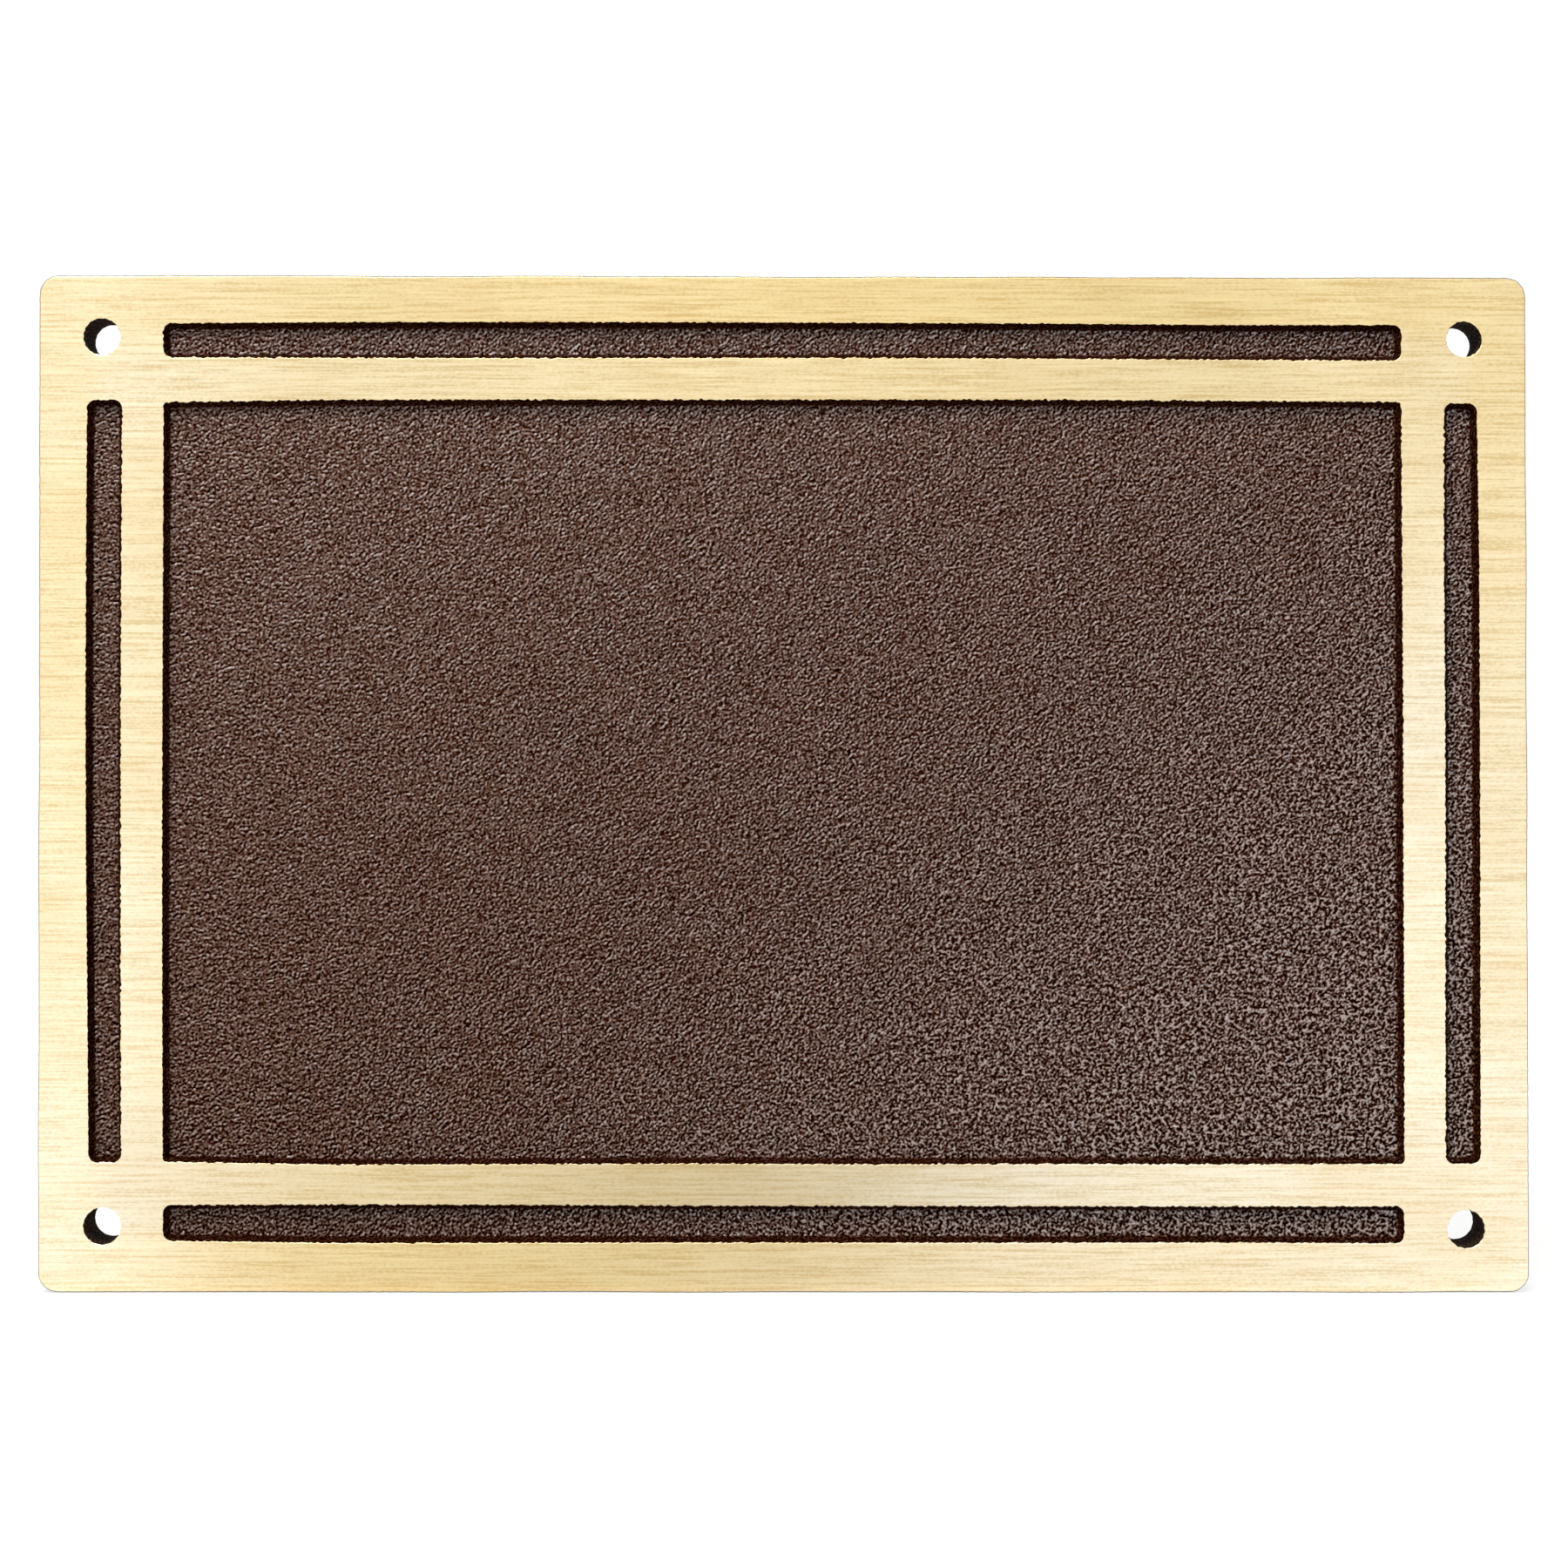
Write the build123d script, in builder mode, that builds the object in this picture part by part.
from build123d import *
import math
import os

# Cast bronze door plaque blank, 220 x 150 x 8 mm, for four M5 screws.
#
# The plaque stands upright: X runs along its width, Z along its height, and
# its face looks towards -Y. The origin is the centre of the flat back face,
# which lies in the plane y = 0. Left is -X, as seen from the front.
#
# One bronze casting carries everything. Its raised rim, the frame around the
# centre field and the corner blocks are one belt-sanded surface. The recesses
# between them, the screw holes and the outer sides are lined with brown
# stoving enamel, modelled as thin solids of its own material.

# ---------------------------------------------------------------- dimensions
# outline
plate_width = 220.0          # along X
plate_height = 150.0         # along Z
plate_thickness = 8.0        # along Y, from the back face to the sanded face
corner_radius = 3.0          # outer corners, seen from the front

# border, from the outer edge inwards
rim_width = 7.1              # raised outer rim
channel_width = 5.2          # recessed channel between rim and inner frame
frame_width = 6.15           # raised inner frame around the centre field

# recesses
recess_depth = 2.0           # from the sanded face to the enamelled floor
wall_draft = 20.0            # degrees, so the sand mould releases
field_corner_radius = 0.6    # centre field, at the face
channel_corner_radius = 1.3  # channel ends, at the face
floor_corner_radius = 0.3    # all recesses, at the floor

# enamel
enamel_floor = 0.25          # on the recess floors
enamel_wall = 0.25           # on the recess walls, measured at the face
enamel_bore = 0.10           # in the screw holes
enamel_side = 0.12           # on the outer sides

# screw holes
hole_diameter = 5.5          # finished bore, clearance for an M5 screw
hole_inset = 9.4             # from the outer edges to the hole centres

# ------------------------------------------------------------------- derived
# the casting is smaller than the finished outline by the side enamel
casting_width = plate_width - 2 * enamel_side
casting_height = plate_height - 2 * enamel_side
casting_corner_radius = corner_radius - enamel_side

border_width = rim_width + channel_width + frame_width
field_width = plate_width - 2 * border_width
field_height = plate_height - 2 * border_width

# from the plaque's centre to the centre lines of the channels
channel_inset = rim_width + channel_width / 2
channel_x = plate_width / 2 - channel_inset
channel_z = plate_height / 2 - channel_inset

cast_depth = recess_depth + enamel_floor
draft_slope = math.tan(math.radians(wall_draft))
cast_run = cast_depth * draft_slope      # how far a casting wall leans in
enamel_run = recess_depth * draft_slope  # how far an enamelled wall leans in

bore_radius = hole_diameter / 2
cored_radius = bore_radius + enamel_bore
hole_spacing_x = plate_width - 2 * hole_inset
hole_spacing_z = plate_height - 2 * hole_inset

# local x = +X, local y = +Z, local z = -Y (out of the plaque's face)
back = Plane.XZ
face = Plane.XZ.offset(plate_thickness)
cast_floor = Plane.XZ.offset(plate_thickness - cast_depth)
enamel_top = Plane.XZ.offset(plate_thickness - recess_depth)

# width, height, centre x, centre z, corner radius, all at the face
field_pocket = (field_width, field_height, 0, 0, field_corner_radius)
top_pocket = (field_width, channel_width, 0, channel_z, channel_corner_radius)
bottom_pocket = (field_width, channel_width, 0, -channel_z, channel_corner_radius)
left_pocket = (channel_width, field_height, -channel_x, 0, channel_corner_radius)
right_pocket = (channel_width, field_height, channel_x, 0, channel_corner_radius)
pockets = (field_pocket, top_pocket, bottom_pocket, left_pocket, right_pocket)


def make_plate_casting():
    """Bronze body with five drafted pockets and four cored screw holes."""
    with BuildPart() as casting:
        with BuildSketch(back):
            RectangleRounded(casting_width, casting_height, casting_corner_radius)
        extrude(amount=plate_thickness)

        for width, height, centre_x, centre_z, radius in pockets:
            with BuildSketch(face):
                with Locations((centre_x, centre_z)):
                    RectangleRounded(width, height, radius)
            with BuildSketch(cast_floor):
                with Locations((centre_x, centre_z)):
                    RectangleRounded(
                        width - 2 * cast_run, height - 2 * cast_run, floor_corner_radius
                    )
            loft(ruled=True, mode=Mode.SUBTRACT)

        with BuildSketch(back):
            with GridLocations(hole_spacing_x, hole_spacing_z, 2, 2):
                Circle(cored_radius)
        extrude(amount=plate_thickness, mode=Mode.SUBTRACT)
    return casting.part


def make_enamel_tray(pocket):
    """Shallow tray of enamel on the floor and drafted walls of one pocket."""
    width, height, centre_x, centre_z, radius = pocket
    inner_width = width - 2 * enamel_wall
    inner_height = height - 2 * enamel_wall
    with BuildPart() as tray:
        # fill the whole pocket
        with BuildSketch(face):
            with Locations((centre_x, centre_z)):
                RectangleRounded(width, height, radius)
        with BuildSketch(cast_floor):
            with Locations((centre_x, centre_z)):
                RectangleRounded(
                    width - 2 * cast_run, height - 2 * cast_run, floor_corner_radius
                )
        loft(ruled=True)

        # hollow it out down to the enamelled floor
        with BuildSketch(face):
            with Locations((centre_x, centre_z)):
                RectangleRounded(inner_width, inner_height, radius - enamel_wall)
        with BuildSketch(enamel_top):
            with Locations((centre_x, centre_z)):
                RectangleRounded(
                    inner_width - 2 * enamel_run,
                    inner_height - 2 * enamel_run,
                    floor_corner_radius,
                )
        loft(ruled=True, mode=Mode.SUBTRACT)
    return tray.part


def make_mirrored(part, middle_plane):
    """The same piece on the other side of one of the plaque's middle planes."""
    with BuildPart() as mirrored:
        mirror(part, about=middle_plane)
    return mirrored.part


def make_screw_hole_enamel():
    """Four thin sleeves, one in each cored hole, open at both ends."""
    with BuildPart() as sleeves:
        with BuildSketch(back):
            with GridLocations(hole_spacing_x, hole_spacing_z, 2, 2):
                Circle(cored_radius)
                Circle(bore_radius, mode=Mode.SUBTRACT)
        extrude(amount=plate_thickness)
    return sleeves.part


def make_side_edge_enamel():
    """Closed band around the casting, flush with the sanded face."""
    with BuildPart() as band:
        with BuildSketch(back):
            RectangleRounded(plate_width, plate_height, corner_radius)
            RectangleRounded(
                casting_width, casting_height, casting_corner_radius, mode=Mode.SUBTRACT
            )
        extrude(amount=plate_thickness)
    return band.part


# -------------------------------------------------------------------- pieces
top_channel_enamel = make_enamel_tray(top_pocket)
left_channel_enamel = make_enamel_tray(left_pocket)

pieces = {
    "plate_casting": make_plate_casting(),
    "centre_field_enamel": make_enamel_tray(field_pocket),
    "top_channel_enamel": top_channel_enamel,
    "bottom_channel_enamel": make_mirrored(top_channel_enamel, Plane.XY),
    "left_channel_enamel": left_channel_enamel,
    "right_channel_enamel": make_mirrored(left_channel_enamel, Plane.YZ),
    "screw_hole_enamel": make_screw_hole_enamel(),
    "side_edge_enamel": make_side_edge_enamel(),
}

os.makedirs("parts", exist_ok=True)
for name, part in pieces.items():
    part.label = name
    export_step(part, f"parts/{name}.step")
